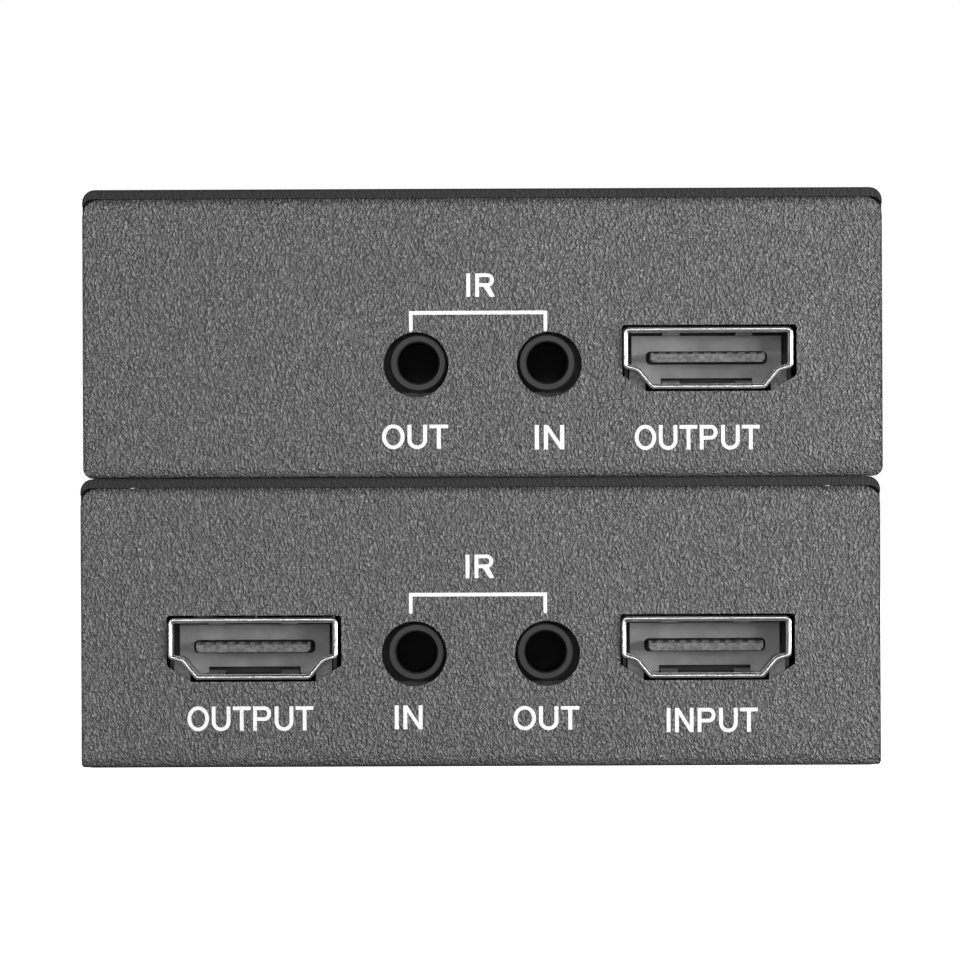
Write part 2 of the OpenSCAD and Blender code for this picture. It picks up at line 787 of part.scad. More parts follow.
// Infrared jack
module jack_body() color(black) difference() {
    union() {
        translate([0, 0, jack_axis_z]) rotate([-90, 0, 0]) {
            cylinder(r1 = jack_nose_r - jack_face_bevel, r2 = jack_nose_r, h = jack_face_bevel);
            translate([0, 0, jack_face_bevel])
                cylinder(r = jack_nose_r, h = jack_nose_len + over / 2 - jack_face_bevel);
        }
        block([-jack_w / 2, jack_nose_len, 0], [jack_w / 2, jack_d, jack_h]);
    }
    translate([0, 0, jack_axis_z]) rotate([-90, 0, 0]) {
        translate([0, 0, -over]) cylinder(r = jack_bore_r, h = jack_bore_d + over);
        cylinder(r1 = jack_bore_r + jack_mouth_bevel, r2 = jack_bore_r, h = jack_mouth_bevel);
        translate([0, 0, -over]) cylinder(r = jack_bore_r + jack_mouth_bevel, h = over);
    }
    for (spot = jack_side_shares) jack_spring_slot(spot);
}

function jack_spring_y(spot) = jack_nose_len + (jack_d - jack_nose_len) * spot[1];
jack_spring_x = jack_bore_r + jack_slot_in;

module jack_side(spot) translate([0, jack_spring_y(spot), 0]) mirror([spot[0] < 0 ? 1 : 0, 0, 0])
    children();

module jack_spring_slot(spot) jack_side(spot) {
    block([jack_spring_x, -jack_slot_w / 2, -over],
        [jack_w / 2 + over, jack_slot_w / 2, jack_axis_z + jack_spring_rise + jack_spring_gap]);
    block([jack_bore_r / 2, -jack_slot_w / 2, jack_axis_z - jack_window_h / 2],
        [jack_spring_x + over, jack_slot_w / 2, jack_axis_z + jack_window_h / 2]);
}

module jack_springs() color(brass) for (spot = jack_side_shares) {
    jack_spring_leaf(spot);
    jack_spring_leg(spot, 0);
}

module jack_spring_leaf(spot) jack_side(spot)
    along_y(-jack_slot_w / 2 + jack_spring_gap, jack_slot_w / 2 - jack_spring_gap) let (
        x = jack_spring_x + jack_spring_gap,
        tip = jack_bore_r + jack_spring_gap,
        knee = jack_window_h / 2 - jack_spring_gap
    )
    polygon([
        [x, 0], [x + jack_spring_t, 0], [x + jack_spring_t, jack_axis_z + jack_spring_rise],
        [x, jack_axis_z + jack_spring_rise], [x, jack_axis_z + knee], [tip, jack_axis_z],
        [x, jack_axis_z - knee],
    ]);

module jack_spring_legs(extra) for (spot = jack_side_shares) jack_spring_leg(spot, extra);

module jack_spring_leg(spot, extra) jack_side(spot)
    block([jack_spring_x + jack_spring_gap - extra, -jack_slot_w / 4 - extra, -board_t - leg_out],
        [jack_spring_x + jack_spring_gap + jack_spring_t + extra, jack_slot_w / 4 + extra, over / 2]);

// Network jack
module network_shield() color(chrome) {
    difference() {
        union() {
            block([-network_w / 2, 0, 0], [network_w / 2, network_d, network_h]);
            shield_legs(0);
        }
        block([-network_w / 2 + shield_t, -over, -over],
            [network_w / 2 - shield_t, network_d - shield_t, network_h - shield_t]);
    }
    shield_fingers();
}

module shield_legs(extra) both_sides()
    block([network_w / 2 - shield_t - extra, shield_leg_y - extra, -board_t - leg_out],
        [network_w / 2 + extra, shield_leg_y + shield_leg_w + extra, shield_leg_w]);

module shield_finger(z) along_z(z - shield_finger_w / 2, z + shield_finger_w / 2) polygon([
    [0, network_fit], [shield_finger_rise, network_proud + sheet_t / 2], [0, shield_finger_len],
]);

module shield_fingers() {
    both_sides() for (z = [1, 3] * network_h / 4) translate([network_w / 2, 0, 0]) shield_finger(z);
    for (x = [-1, 1] * network_w / 4) translate([x, 0, network_h]) rotate([0, -90, 0]) shield_finger(0);
}

plug_low = plug_top - plug_h;
network_post_x = network_w / 2 - shield_t - network_post_wall - network_post_r;
network_light_x = network_w / 2 - shield_t - network_light_wall - network_light_w / 2;

module network_insulator() color(black) difference() {
    union() {
        block([-network_w / 2 + shield_t + network_fit, network_fit, 0],
            [network_w / 2 - shield_t - network_fit, network_d - shield_t - network_fit,
            network_h - shield_t - network_fit]);
        network_posts(0);
    }
    block([-plug_w / 2, -over, plug_low], [plug_w / 2, plug_d, plug_top]);
    block([-latch_ws[0] / 2, -over, plug_low - latch_hs[0]], [latch_ws[0] / 2, plug_d, plug_top]);
    block([-latch_ws[1] / 2, -over, plug_low - latch_hs[0] - latch_hs[1]],
        [latch_ws[1] / 2, plug_d, plug_top]);
    wire_channel();
    network_lights_at(network_fit);
}

wire_half = wire_count / 2 * wire_pitch;

module wire_channel() {
    block([-wire_half, wire_front - wire_clear, plug_top - over],
        [wire_half, wire_shaft_y + wire_t + wire_clear, plug_top + wire_roof + wire_t]);
    block([-wire_half, wire_shaft_y - wire_clear, -over],
        [wire_half, wire_shaft_y + wire_t + wire_clear, plug_top + wire_roof + wire_t]);
}

module network_posts(extra) both_sides() translate([network_post_x, network_post_y, 0])
    along_z(-board_t - (extra > 0 ? over : 0), over / 2) circle(network_post_r + extra);

module network_contacts() color(brass) network_wires(0);

// Each contact runs up a shaft, forward under the roof and back down into the plug's cavity
module network_wires(extra) for (i = [0:wire_count - 1]) let (
        x = (i - (wire_count - 1) / 2) * wire_pitch,
        half = wire_t / 2 + extra,
        low = plug_top + wire_roof,
        high = low + wire_t,
        y0 = wire_shaft_y - extra,
        y1 = wire_shaft_y + wire_t + extra
    )
    along_x(x - half, x + half) polygon([
        [y0, -board_t - leg_out], [y1, -board_t - leg_out], [y1, high],
        [wire_front, high], [wire_front, low], [wire_fold_y, low - wire_dip],
        [wire_fold_y, low - wire_dip + wire_t], [wire_front + wire_t * 2, low], [y0, low],
    ]);

module network_lights() {
    color(lamp_green) network_light(left, 0);
    color(lamp_red) network_light(right, 0);
}

module network_lights_at(extra) for (side = [left, right]) network_light(side, extra);

module network_light(side, extra) translate([side * network_light_x, 0, 0])
    block([-network_light_w / 2 - extra, network_fit - (extra > 0 ? over : 0),
        network_h - shield_t - network_light_h - network_fit * 2],
        [network_light_w / 2 + extra, network_light_d + extra,
        network_h - shield_t - network_fit * 2 + extra]);

// Power jack
module power_jack() color(black) difference() {
    union() {
        along_y(0, power_face_d) shape(box_outline(-power_w / 2, 0, power_w / 2, power_h));
        along_y(power_face_d - over / 2, power_d)
            translate([0, power_axis_z]) circle(power_barrel_r);
        along_y(power_face_d - over / 2, power_d)
            shape(box_outline(-power_w / 2, 0, power_w / 2, power_base_h));
    }
    translate([0, 0, power_axis_z]) rotate([-90, 0, 0]) {
        translate([0, 0, -over]) cylinder(r = power_bore_r, h = power_bore_d + over);
        cylinder(r1 = power_bore_r + power_mouth_bevel, r2 = power_bore_r, h = power_mouth_bevel);
        cylinder(r = power_pin_r + clinch_gap, h = power_d + over);
    }
    power_spring_slot();
}

module power_pin() color(chrome) {
    translate([0, power_pin_back, power_axis_z]) rotate([-90, 0, 0]) {
        cylinder(r1 = power_pin_r / 2, r2 = power_pin_r, h = power_pin_nose);
        translate([0, 0, power_pin_nose])
            cylinder(r = power_pin_r, h = power_d + power_pin_tail - power_pin_back - power_pin_nose);
    }
    power_pin_leg(0);
}

module power_pin_leg(extra)
    block([-power_pin_r - extra, power_d - extra, -board_t - leg_out],
        [power_pin_r + extra, power_d + power_pin_tail + extra, power_axis_z]);

module power_spring_slot()
    block([-power_spring_w / 2 - power_gap, power_spring_y - power_gap, -over],
        [power_spring_w / 2 + power_gap, power_spring_y + power_spring_len + power_gap, power_axis_z]);

module power_spring() color(steel) {
    along_x(-power_spring_w / 2, power_spring_w / 2) let (
        z = power_axis_z - power_bore_r - power_gap,
        y = power_spring_y
    )
    polygon([
        [y, 0], [y + power_spring_t, 0], [y + power_spring_t, z - power_spring_t * 2],
        [y + power_spring_len / 2, z - power_spring_t], [y + power_spring_len, z - power_spring_t * 2],
        [y + power_spring_len, z - power_spring_t], [y + power_spring_len / 2, z],
        [y, z - power_spring_t],
    ]);
    power_spring_leg(0);
}

module power_spring_leg(extra)
    block([-power_spring_w / 4 - extra, power_spring_y - extra, -board_t - leg_out],
        [power_spring_w / 4 + extra, power_spring_y + power_spring_t + extra, over / 2]);

module power_light() color(lamp_green) at_light() translate([0, -light_out, light_z]) rotate([-90, 0, 0]) {
    translate([0, 0, light_r]) {
        intersection() {
            sphere(light_r);
            translate([0, 0, -light_r]) cylinder(r = light_r, h = light_r);
        }
        cylinder(r = light_r, h = light_d - light_r);
    }
    translate([0, 0, light_d - light_rim_d]) cylinder(r = light_r + light_rim, h = light_rim_d);
}

module light_holder() color(black) at_light() difference() {
    block([-holder_w / 2, holder_front, 0], [holder_w / 2, holder_front + holder_d, holder_h]);
    translate([0, 0, light_z]) rotate([-90, 0, 0]) {
        cylinder(r = light_r + light_gap, h = light_d);
        translate([0, 0, light_d - light_out - light_rim_d])
            cylinder(r = light_r + light_rim + light_gap, h = light_rim_d + light_gap);
    }
}

// Parts on the board
jack_back = front_y + jack_recess + jack_d;
network_back = rear_y + network_proud - network_d;
power_back = rear_y - sheet_t - power_gap - power_d - power_pin_tail;
choke_y = power_back - part_gap - choke_w / 2;
can_y = choke_y - choke_w / 2 - part_gap - can_base / 2;

module on_board_at(shares) on_board() translate([shares[0] * board_x, shares[1] * board_y, 0]) children();

module bevelled_slab(w, d, h, bevel) {
    along_z(0, h - bevel) shape(box_outline(-w / 2, -d / 2, w / 2, d / 2));
    along_z(0, h) shape(box_outline(bevel - w / 2, bevel - d / 2, w / 2 - bevel, d / 2 - bevel));
}

module main_chip() color(black) on_board_at(chip_place_shares) difference() {
    bevelled_slab(chip_w, chip_w, chip_h, chip_bevel);
    translate([1, 1, 0] * (chip_dot_r * 3 - chip_w / 2)) along_z(chip_h - chip_dot_d, chip_h + over)
        circle(chip_dot_r);
}

module heat_sink() color(aluminium) on_board_at(chip_place_shares) translate([0, 0, chip_h]) {
    block([-sink_w / 2, -sink_w / 2, 0], [sink_w / 2, sink_w / 2, sink_base]);
    for (i = [0:sink_fins - 1]) let (x = -sink_w / 2 + i * (sink_w - sink_fin_t) / (sink_fins - 1))
        block([x, -sink_w / 2, 0], [x + sink_fin_t, sink_w / 2, sink_h]);
}

module line_transformer() on_board()
    translate([network_x, network_back - part_gap - coil_d / 2, 0]) coil();

module coil() {
    color(black) translate([0, 0, coil_pin_t]) bevelled_slab(coil_w, coil_d, coil_h, coil_bevel);
    color(steel) both_sides() for (i = [0:coil_pins - 1])
        translate([0, (i - (coil_pins - 1) / 2) * coil_pin_pitch, 0])
            block([coil_w / 2 - coil_bevel, -coil_pin_w / 2, 0],
                [coil_w / 2 + coil_pin_len, coil_pin_w / 2, coil_pin_t]);
}

module capacitors() on_board() for (shares = can_pitch_shares)
    translate(concat([power_x, can_y] + shares * (can_base + can_gap), 0)) can();

module can() {
    color(black) along_z(0, can_base_h) let (h = can_base / 2, c = can_corner) polygon([
        [-h, -h], [h - c, -h], [h, c - h], [h, h - c], [h - c, h], [-h, h],
    ]);
    color(aluminium) difference() {
        rotate_extrude() polygon([
            [0, can_base_h], [can_r, can_base_h], [can_r, can_base_h + can_neck_h],
            [can_r - can_neck, can_base_h + can_neck_h * 1.5], [can_r, can_base_h + can_neck_h * 2],
            [can_r, can_h - can_neck], [can_r - can_neck, can_h], [0, can_h],
        ]);
        for (turn = [0, 90]) rotate([0, 0, turn])
            block([-can_r / 2, -can_vent_w / 2, can_h - can_vent_d],
                [can_r / 2, can_vent_w / 2, can_h + over]);
    }
}

module chip_row() for (i = [0:chip_row_count - 1])
    translate([0, (i - (chip_row_count - 1) / 2) * chip_row_pitch, 0])
        block([-chip_row_w / 2, -chip_row_d / 2, 0], [chip_row_w / 2, chip_row_d / 2, chip_row_h]);

module small_parts() {
    color(graphite) for (shares = chip_row_place_shares) on_board_at(shares) chip_row();
    color(graphite) on_board() translate([0, jack_back + part_gap, 0]) rotate([0, 0, 90]) chip_row();
    color(steel) on_board_at(crystal_place_shares) along_z(0, crystal_h)
        shape(box_outline(-crystal_w / 2, -crystal_d / 2, crystal_w / 2, crystal_d / 2, crystal_d / 2));
    color(graphite) on_board() translate([power_x, choke_y, 0]) along_z(0, choke_h)
        shape(box_outline(-choke_w / 2, -choke_w / 2, choke_w / 2, choke_w / 2, choke_corner));
}

lower() base_tray(transmitter);  // transmitter_base_tray
lower() top_cover(transmitter);  // transmitter_top_cover
lower() cover_screws();  // transmitter_cover_screws
lower() standoffs();  // transmitter_standoffs
lower() board_screws();  // transmitter_board_screws
lower() circuit_board(transmitter);  // transmitter_circuit_board
lower() at_port(right) port_shell();  // transmitter_input_shell
lower() at_port(right) port_insulator();  // transmitter_input_insulator
lower() at_port(right) port_contacts();  // transmitter_input_contacts
lower() at_port(left) port_shell();  // transmitter_loop_shell
lower() at_port(left) port_insulator();  // transmitter_loop_insulator
lower() at_port(left) port_contacts();  // transmitter_loop_contacts
lower() at_jack(left) jack_body();  // transmitter_left_jack
lower() at_jack(left) jack_springs();  // transmitter_left_jack_springs
lower() at_jack(right) jack_body();  // transmitter_right_jack
lower() at_jack(right) jack_springs();  // transmitter_right_jack_springs
lower() at_network() network_shield();  // transmitter_network_shield
lower() at_network() network_insulator();  // transmitter_network_insulator
lower() at_network() network_contacts();  // transmitter_network_contacts
lower() at_network() network_lights();  // transmitter_network_lights
lower() at_power() power_jack();  // transmitter_power_jack
lower() at_power() power_pin();  // transmitter_power_pin
lower() at_power() power_spring();  // transmitter_power_spring
lower() power_light();  // transmitter_power_light
lower() light_holder();  // transmitter_light_holder
lower() main_chip();  // transmitter_main_chip
lower() heat_sink();  // transmitter_heat_sink
lower() line_transformer();  // transmitter_line_transformer
lower() capacitors();  // transmitter_capacitors
lower() small_parts();  // transmitter_small_parts
upper() base_tray(receiver);  // receiver_base_tray
upper() top_cover(receiver);  // receiver_top_cover
upper() cover_screws();  // receiver_cover_screws
upper() standoffs();  // receiver_standoffs
upper() board_screws();  // receiver_board_screws
upper() circuit_board(receiver);  // receiver_circuit_board
upper() at_port(right) port_shell();  // receiver_output_shell
upper() at_port(right) port_insulator();  // receiver_output_insulator
upper() at_port(right) port_contacts();  // receiver_output_contacts
upper() at_jack(left) jack_body();  // receiver_left_jack
upper() at_jack(left) jack_springs();  // receiver_left_jack_springs
upper() at_jack(right) jack_body();  // receiver_right_jack
upper() at_jack(right) jack_springs();  // receiver_right_jack_springs
upper() at_network() network_shield();  // receiver_network_shield
upper() at_network() network_insulator();  // receiver_network_insulator
upper() at_network() network_contacts();  // receiver_network_contacts
upper() at_network() network_lights();  // receiver_network_lights
upper() at_power() power_jack();  // receiver_power_jack
upper() at_power() power_pin();  // receiver_power_pin
upper() at_power() power_spring();  // receiver_power_spring
upper() power_light();  // receiver_power_light
upper() light_holder();  // receiver_light_holder
upper() main_chip();  // receiver_main_chip
upper() heat_sink();  // receiver_heat_sink
upper() line_transformer();  // receiver_line_transformer
upper() capacitors();  // receiver_capacitors
upper() small_parts();  // receiver_small_parts
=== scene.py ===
"""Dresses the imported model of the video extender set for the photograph's view."""

import json
import math

import bpy
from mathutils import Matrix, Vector


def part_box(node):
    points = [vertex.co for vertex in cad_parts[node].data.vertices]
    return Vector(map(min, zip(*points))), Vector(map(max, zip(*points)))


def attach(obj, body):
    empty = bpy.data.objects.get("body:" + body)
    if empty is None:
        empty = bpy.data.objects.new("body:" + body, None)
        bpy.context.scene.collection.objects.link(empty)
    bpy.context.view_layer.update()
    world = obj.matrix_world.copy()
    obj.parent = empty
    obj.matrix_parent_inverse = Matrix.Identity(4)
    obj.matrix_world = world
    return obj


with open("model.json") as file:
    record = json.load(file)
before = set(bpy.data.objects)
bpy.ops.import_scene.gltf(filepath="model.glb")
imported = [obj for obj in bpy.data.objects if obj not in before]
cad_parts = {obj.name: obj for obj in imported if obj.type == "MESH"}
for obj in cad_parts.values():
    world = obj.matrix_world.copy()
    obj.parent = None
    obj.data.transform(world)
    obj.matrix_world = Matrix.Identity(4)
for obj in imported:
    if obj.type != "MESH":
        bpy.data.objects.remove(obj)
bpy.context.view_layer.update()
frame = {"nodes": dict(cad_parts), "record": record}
scene = bpy.context.scene
nodes = frame["nodes"]
MM = 0.001

# The photograph: its width, pixels per millimetre on the front panels, how far off the camera
# stands (m), what lies at the image's middle, and how far the camera is rolled (degrees)
IMAGE_PX = 960
PX_PER_MM = 11.425
VIEW_MM = IMAGE_PX / PX_PER_MM
CAMERA_GAP = 0.72
MIDDLE_X = -0.14 * MM
MIDDLE_Z = 25.09 * MM
ROLL = 0.23

front_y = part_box("transmitter_base_tray")[0].y


# ---------------------------------------------------------------- materials
class Nodes:
    """A material's node tree with short calls for its nodes."""

    def __init__(self, name):
        self.material = bpy.data.materials.new(name)
        self.material.use_nodes = True
        self.tree = self.material.node_tree
        self.shader = self.tree.nodes["Principled BSDF"]

    def node(self, kind, inputs=(), **settings):
        made = self.tree.nodes.new(kind)
        for key, value in settings.items():
            setattr(made, key, value)
        for key, value in dict(inputs).items():
            self.set(made.inputs[key], value)
        return made

    def set(self, socket, value):
        """Links a socket to another socket or a node, or gives it a constant."""
        if isinstance(value, bpy.types.NodeSocket):
            self.tree.links.new(value, socket)
        elif isinstance(value, bpy.types.Node):
            self.tree.links.new(value.outputs[0], socket)
        else:
            socket.default_value = value

    def surface(self, **values):
        for key, value in values.items():
            self.set(self.shader.inputs[key.replace("_", " ")], value)
        return self.material

    def place(self):
        return self.node("ShaderNodeTexCoord").outputs["Object"]

    def facing_ends(self):
        """How squarely the surface faces the front or the rear."""
        normal = self.node("ShaderNodeTexCoord").outputs["Normal"]
        return self.math("ABSOLUTE", self.node("ShaderNodeSeparateXYZ", {0: normal}).outputs["Y"])

    def inward(self):
        """How far a place is behind the front panels."""
        along = self.node("ShaderNodeSeparateXYZ", {0: self.place()}).outputs["Y"]
        return self.math("SUBTRACT", along, front_y)

    def noise(self, scale, detail=2.0, roughness=0.5, distortion=0.0, vector=None):
        inputs = {
            "Vector": vector or self.place(),
            "Scale": scale,
            "Detail": detail,
            "Roughness": roughness,
            "Distortion": distortion,
        }
        return self.node("ShaderNodeTexNoise", inputs).outputs["Fac"]

    def ramp(self, value, low, high, to_low=0.0, to_high=1.0):
        """Takes the span from low to high onto the one from to_low to to_high."""
        span = {"From Min": low, "From Max": high, "To Min": to_low, "To Max": to_high}
        return self.node("ShaderNodeMapRange", {"Value": value, **span}).outputs["Result"]

    def math(self, operation, a, b=0.0):
        return self.node("ShaderNodeMath", {0: a, 1: b}, operation=operation).outputs["Value"]

    def tint(self, factor, dark, light):
        return self.node(
            "ShaderNodeMix", {"Factor": factor, "A": dark, "B": light}, data_type="RGBA"
        ).outputs["Result"]

    def bump(self, height, depth, strength=1.0):
        return self.node(
            "ShaderNodeBump", {"Height": height, "Distance": depth, "Strength": strength}
        ).outputs["Normal"]


def rgb(r, g, b):
    return (r, g, b, 1.0)


def grey(value):
    return rgb(value, value, value)


def charcoal(value):
    """A grey with a trace of blue."""
    return rgb(value, value, value + 0.0005)


# The coat's relief: scales of its grain and cells, the cells' share, the stretch and the depth
GRAIN_SCALE, CELL_SCALE, CELL_SHARE = 5300, 3600, 0.3
COAT_STRETCH = (1.0, 1.0, 0.68)
COAT_DEPTH = 0.5 * MM
# Its tones in the relief's hollows and on its peaks, painted shade and painted highlight on the
# grain, each from one end of the clouding to the other
COAT_HOLLOW_SHADE, COAT_PEAK_HIGHLIGHT, COAT_HEIGHTS = (0.1, 0.112), (0.19, 0.21), (0.24, 0.6)
# Roughness and specular level, on the trays and on the covers
TRAY_FINISH, COVER_FINISH = (0.42, 0.5), (0.68, 0.3)
# Painted shade: tones of a cover's cut ends, of the rim round them and of a panel's edges
CUT_END_SHADE_TONE, RIM_SHADE_TONE, EDGE_SHADE_TONE = 0.0215, 0.011, 0.02
# How far in from the edge these bands of painted shade begin and are full
RIM_TOP, RIM_SIDE = (0.26 * MM, 0.04 * MM), (0.22 * MM, 0.02 * MM)
EDGE_SIDE, EDGE_FOOT, EDGE_TOP = 0.3 * MM, 0.32 * MM, (0.65 * MM, 0.05 * MM)


def powder_coat(name, box, cut_ends):
    """Textured charcoal coat with painted shade in its relief's hollows and along a panel's edges;
    a cover's cut ends are smooth and painted dark as shade.
    """
    n = Nodes(name)
    low, high = box
    half = (high.x - low.x) / 2
    local = n.node("ShaderNodeSeparateXYZ", {0: n.place()})
    place = n.node("ShaderNodeMapping", {"Vector": n.place(), "Scale": COAT_STRETCH})
    grain = n.noise(GRAIN_SCALE, 0.4, 0.5, 0.8, place)
    voronoi = n.node("ShaderNodeTexVoronoi", {"Vector": place, "Scale": CELL_SCALE})
    cells = n.math("MULTIPLY", voronoi.outputs["Distance"], CELL_SHARE)
    height = n.math("SUBTRACT", grain, cells)
    cloud = n.noise(70, 2.0, 0.5)
    dark = n.tint(cloud, *map(charcoal, COAT_HOLLOW_SHADE))
    light = n.tint(cloud, *map(charcoal, COAT_PEAK_HIGHLIGHT))
    # Painted shade in the relief's hollows and painted highlight on its peaks
    colour = n.tint(n.ramp(height, *COAT_HEIGHTS), dark, light)
    facing = n.ramp(n.facing_ends(), 0.4, 0.8)
    across = n.math("ABSOLUTE", n.math("SUBTRACT", local.outputs["X"], (low.x + high.x) / 2))
    rough, gloss = COVER_FINISH if cut_ends else TRAY_FINISH
    strength = 1.0
    # Painted shade: a cover's cut ends dark and darkest at the rim round them; their coat is
    # smoother too
    if cut_ends:
        rim = n.math(
            "MAXIMUM",
            n.ramp(local.outputs["Z"], high.z - RIM_TOP[0], high.z - RIM_TOP[1]),
            n.ramp(across, half - RIM_SIDE[0], half - RIM_SIDE[1]),
        )
        cut = n.tint(rim, charcoal(CUT_END_SHADE_TONE), charcoal(RIM_SHADE_TONE))
        colour = n.tint(facing, colour, cut)
        strength = n.math("SUBTRACT", 1.0, n.math("MULTIPLY", facing, 0.7))
    else:
        # Painted shade along a panel's sides, foot and top, where its edges round away
        side = n.ramp(across, half - EDGE_SIDE, half)
        foot = n.ramp(local.outputs["Z"], low.z + EDGE_FOOT, low.z)
        top = n.ramp(local.outputs["Z"], high.z - EDGE_TOP[0], high.z - EDGE_TOP[1])
        edge_shade_mask = n.math("MAXIMUM", n.math("MAXIMUM", side, foot), top)
        edge = n.math("MULTIPLY", edge_shade_mask, facing)
        colour = n.tint(n.math("MULTIPLY", edge, 0.85), colour, charcoal(EDGE_SHADE_TONE))
    return n.surface(
        Base_Color=colour,
        Roughness=rough,
        Specular_IOR_Level=gloss,
        Normal=n.bump(height, COAT_DEPTH, strength),
    )


# How far behind the front panels the sockets' metal is painted darker as shade, and bright again
# for the rear ones
SHADE_INSIDE_FROM, SHADE_INSIDE_TO = (0.5 * MM, 1.1 * MM), (40 * MM, 30 * MM)


def metal(name, colour, rough, grain_scale, depth, painted_shade_inside=False):
    """Metal with a fine grain; on request its colour is painted darker inside the front sockets as
    shade.
    """
    n = Nodes(name)
    fine = n.noise(grain_scale, 3.0, 0.6)
    broad = n.noise(grain_scale / 9, 2.0, 0.5)
    shade = n.tint(n.ramp(broad, 0.35, 0.65), rgb(*[c * 0.86 for c in colour]), rgb(*colour))
    # Painted shade: the metal's colour darkened inside the front sockets
    if painted_shade_inside:
        inward = n.inward()
        inside_shade = n.math("MULTIPLY", n.ramp(inward, *SHADE_INSIDE_FROM), n.ramp(inward, *SHADE_INSIDE_TO))
        shade = n.tint(inside_shade, shade, rgb(0.14, 0.14, 0.145))
    return n.surface(
        Base_Color=shade,
        Metallic=1.0,
        Roughness=n.ramp(fine, 0.3, 0.7, rough * 0.7, rough * 1.4),
        Normal=n.bump(fine, depth),
    )


# The grain and clouding that all the mouldings share
MOULD_GRAIN, MOULD_CLOUD, MOULD_DEPTH = 3500, 260, 0.006 * MM


def plastic(name, dark, light, rough):
    n = Nodes(name)
    grain = n.noise(MOULD_GRAIN, 2.0, 0.5)
    cloud = n.noise(MOULD_CLOUD, 3.0, 0.6)
    return n.surface(
        Base_Color=n.tint(n.ramp(cloud, 0.35, 0.65), rgb(*dark), rgb(*light)),
        Roughness=n.ramp(grain, 0.3, 0.7, rough - 0.06, rough + 0.06),
        Normal=n.bump(grain, MOULD_DEPTH),
    )


def black_plastic():
    """Black moulding whose bevels are painted darker than its flat faces, as shade."""
    n = Nodes("black_plastic")
    along = n.facing_ends()
    # Painted shade on the bevels, found by how far the surface turns from the front; they are
    # rougher too
    bevel = n.math("MULTIPLY", n.ramp(along, 0.25, 0.4), n.ramp(along, 0.97, 0.9))
    grain = n.noise(MOULD_GRAIN, 2.0, 0.5)
    face = n.tint(n.noise(MOULD_CLOUD, 3.0, 0.6), grey(0.0155), grey(0.031))
    return n.surface(
        Base_Color=n.tint(bevel, face, grey(0.004)),
        Specular_IOR_Level=0.35,
        Roughness=n.ramp(bevel, 0.0, 1.0, 0.42, 0.8),
        Normal=n.bump(grain, MOULD_DEPTH),
    )


# The video sockets' insulator: tones of the tongue's specks, of the face, lightened with painted
# light deep in the socket, and of the slots, painted dark as shade; and how far behind the panel
# the face takes over from the tongue and the slots from the face
TONGUE_TONES, FACE_PAINTED_LIGHT_TONE, SLOT_PAINTED_SHADE_TONE = (0.07, 0.155), 0.45, 0.02
FACE_FROM, SLOT_FROM = (3 * MM, 5.5 * MM), (6.25 * MM, 6.4 * MM)


def port_plastic():
    """Grey moulding: a speckled mid-grey tongue, a face lightened with painted light deep in the
    socket, and slots behind it darkened with painted shade.
    """
    n = Nodes("port_plastic")
    inward = n.inward()
    grain = n.noise(MOULD_GRAIN, 2.0, 0.5)
    specks = n.ramp(n.noise(3300, 1.0, 0.5), 0.35, 0.65)
    tongue = n.tint(specks, *map(grey, TONGUE_TONES))
    cloud = n.ramp(n.noise(420, 3.0, 0.6), 0.35, 0.65, 0.86, 1.1)
    # Painted light: the face deep in the socket lighter than the tongue; painted shade: the slots
    # behind it dark
    face = n.tint(n.ramp(inward, *FACE_FROM), tongue, grey(FACE_PAINTED_LIGHT_TONE))
    depth = n.tint(n.ramp(inward, *SLOT_FROM), face, grey(SLOT_PAINTED_SHADE_TONE))
    shade = n.node("ShaderNodeVectorMath", {0: depth, 1: cloud}, operation="MULTIPLY")
    return n.surface(
        Base_Color=shade.outputs["Vector"],
        Roughness=0.5,
        Normal=n.bump(grain, 0.01 * MM),
    )


def light_window():
    """Tinted windows: green, and red on the right of the network jack."""
    n = Nodes("light_window")
    across = n.node("ShaderNodeSeparateXYZ", {0: n.place()}).outputs["X"]
    green, red = rgb(0.2, 0.5, 0.24), rgb(0.6, 0.14, 0.1)
    return n.surface(
        Base_Color=n.tint(n.ramp(across, 12.9 * MM, 13.1 * MM), green, red),
        Roughness=n.ramp(n.noise(3000, 2.0, 0.5), 0.3, 0.7, 0.2, 0.3),
        Specular_IOR_Level=0.6,
    )


materials = {
    "nickel_shell": metal(
        "nickel_shell", (0.88, 0.88, 0.89), 0.19, 2200, 0.012 * MM, painted_shade_inside=True
    ),
    "steel": metal("steel", (0.36, 0.36, 0.37), 0.42, 900, 0.0002 * MM),
    "brass_fittings": metal("brass_fittings", (0.72, 0.55, 0.27), 0.28, 3000, 0.003 * MM),
    "contacts": metal("contacts", (0.06, 0.056, 0.05), 0.35, 4000, 0.002 * MM),
    "black_plastic": black_plastic(),
    "port_plastic": port_plastic(),
    "board": plastic("board", (0.016, 0.018, 0.017), (0.026, 0.028, 0.027), 0.3),
    "chip_resin": plastic("chip_resin", (0.035,) * 3, (0.05,) * 3, 0.55),
    "aluminium": metal("aluminium", (0.7, 0.71, 0.72), 0.35, 2600, 0.006 * MM),
    "light_window": light_window(),
}


WELD_GAP = 0.001 * MM
SMOOTH_BELOW, ROUND_ABOVE = math.radians(35), math.radians(40)
# Width of the rounding, by the end of a node's name; a shell is only shaded smooth
EDGE_WIDTHS = {
    "_shell": 0,
    "base_tray": 0.1 * MM,
    "top_cover": 0.1 * MM,
    "cover_screws": 0.06 * MM,
}


